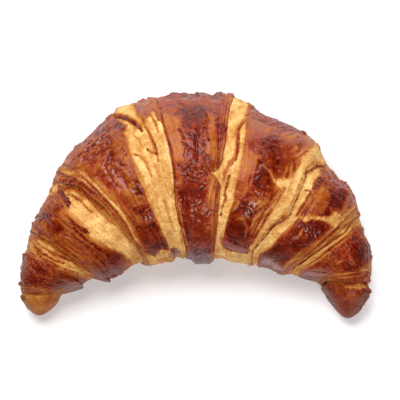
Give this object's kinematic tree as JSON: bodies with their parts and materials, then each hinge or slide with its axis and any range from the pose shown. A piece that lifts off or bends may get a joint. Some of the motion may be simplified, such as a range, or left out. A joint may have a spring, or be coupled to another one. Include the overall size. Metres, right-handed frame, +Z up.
{
  "type": "pretzel croissant",
  "caption": "Crescent-shaped baked roll of layered dough with a dark glazed lye crust, pale split gaps between its turns, and tapered horns.",
  "frame": {"origin": "middle of the box round the footprint, on the surface that the croissant lies on", "axes": "+X along the crescent from its left horn to its right one, +Y from the bay between the horns to the fat middle turn, +Z up"},
  "size_m": [0.1668, 0.1056, 0.0542],
  "materials": {
    "crust": "semi-gloss"
  },
  "bodies": {
    "root": {"croissant": "crust"}
  },
  "joints": []
}
